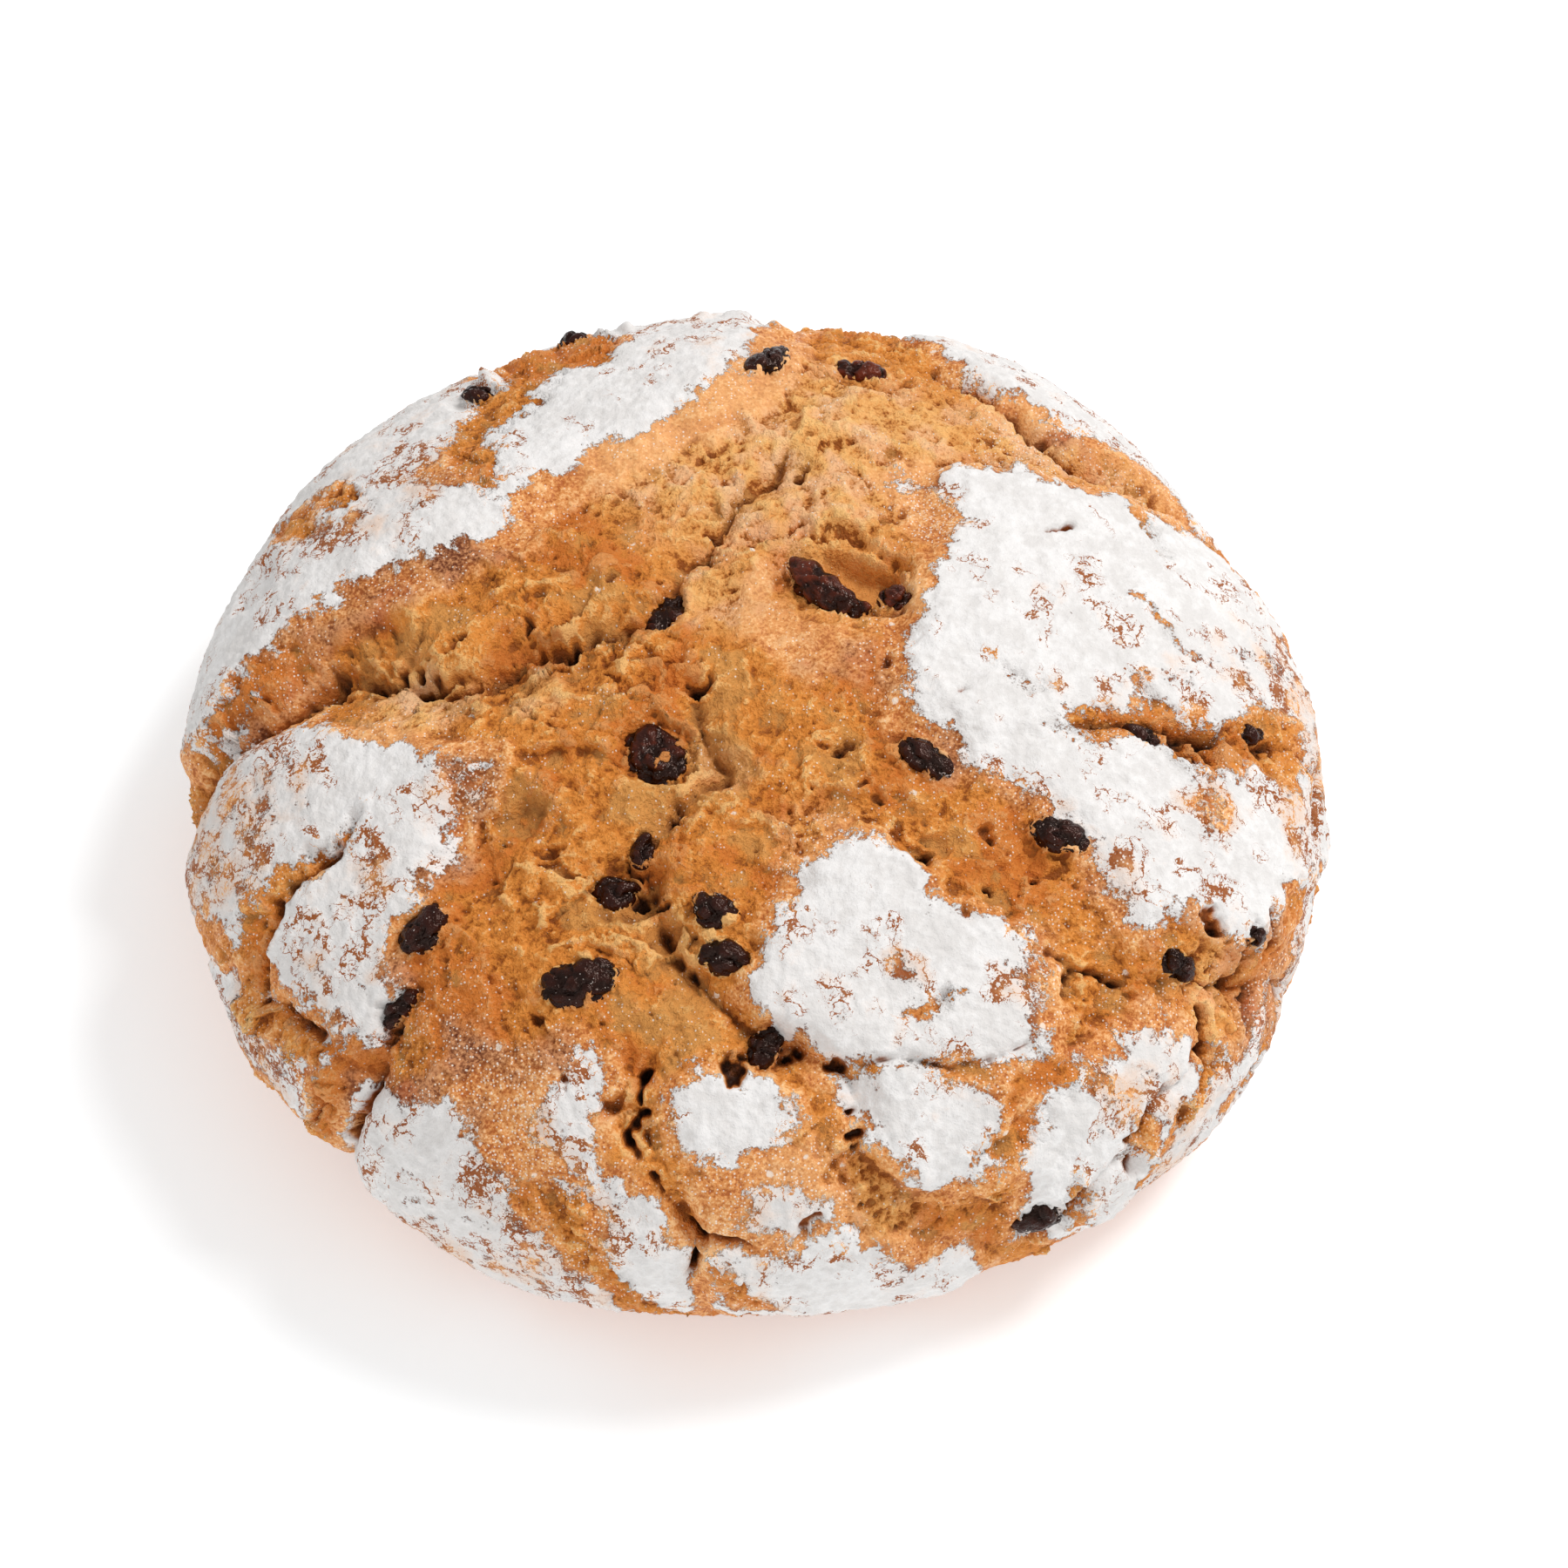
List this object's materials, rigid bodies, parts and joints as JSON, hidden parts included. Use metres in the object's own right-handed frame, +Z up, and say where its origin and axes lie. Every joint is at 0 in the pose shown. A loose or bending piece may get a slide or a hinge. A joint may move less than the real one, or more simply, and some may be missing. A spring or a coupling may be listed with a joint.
{
  "type": "soda bread loaf",
  "caption": "Round free-standing loaf of raisin soda bread with a burst, floured crust, deep tears and raisins showing; it stands on its flat base.",
  "frame": {"origin": "middle of the loaf's outline in plan, on the plane that the flat base stands on", "axes": "+Z up through the crown, +X to the right and -Y to the front of the loaf as it is shown"},
  "size_m": [0.1763, 0.1742, 0.0632],
  "materials": {
    "bread_crust": "matt baked crust, golden to orange brown, dusted with white flour",
    "raisin_skin": "wrinkled dark purple brown dried fruit skin with a dull gloss"
  },
  "bodies": {
    "root": {"bread": "bread_crust", "raisin_01": "raisin_skin", "raisin_02": "raisin_skin", "raisin_03": "raisin_skin", "raisin_04": "raisin_skin", "raisin_05": "raisin_skin", "raisin_06": "raisin_skin", "raisin_07": "raisin_skin", "raisin_08": "raisin_skin", "raisin_09": "raisin_skin", "raisin_10": "raisin_skin", "raisin_11": "raisin_skin", "raisin_12": "raisin_skin", "raisin_13": "raisin_skin", "raisin_14": "raisin_skin", "raisin_15": "raisin_skin", "raisin_16": "raisin_skin", "raisin_17": "raisin_skin", "raisin_18": "raisin_skin", "raisin_19": "raisin_skin", "raisin_20": "raisin_skin", "raisin_21": "raisin_skin", "raisin_22": "raisin_skin", "raisin_23": "raisin_skin", "raisin_24": "raisin_skin", "raisin_25": "raisin_skin", "raisin_26": "raisin_skin"}
  },
  "joints": []
}
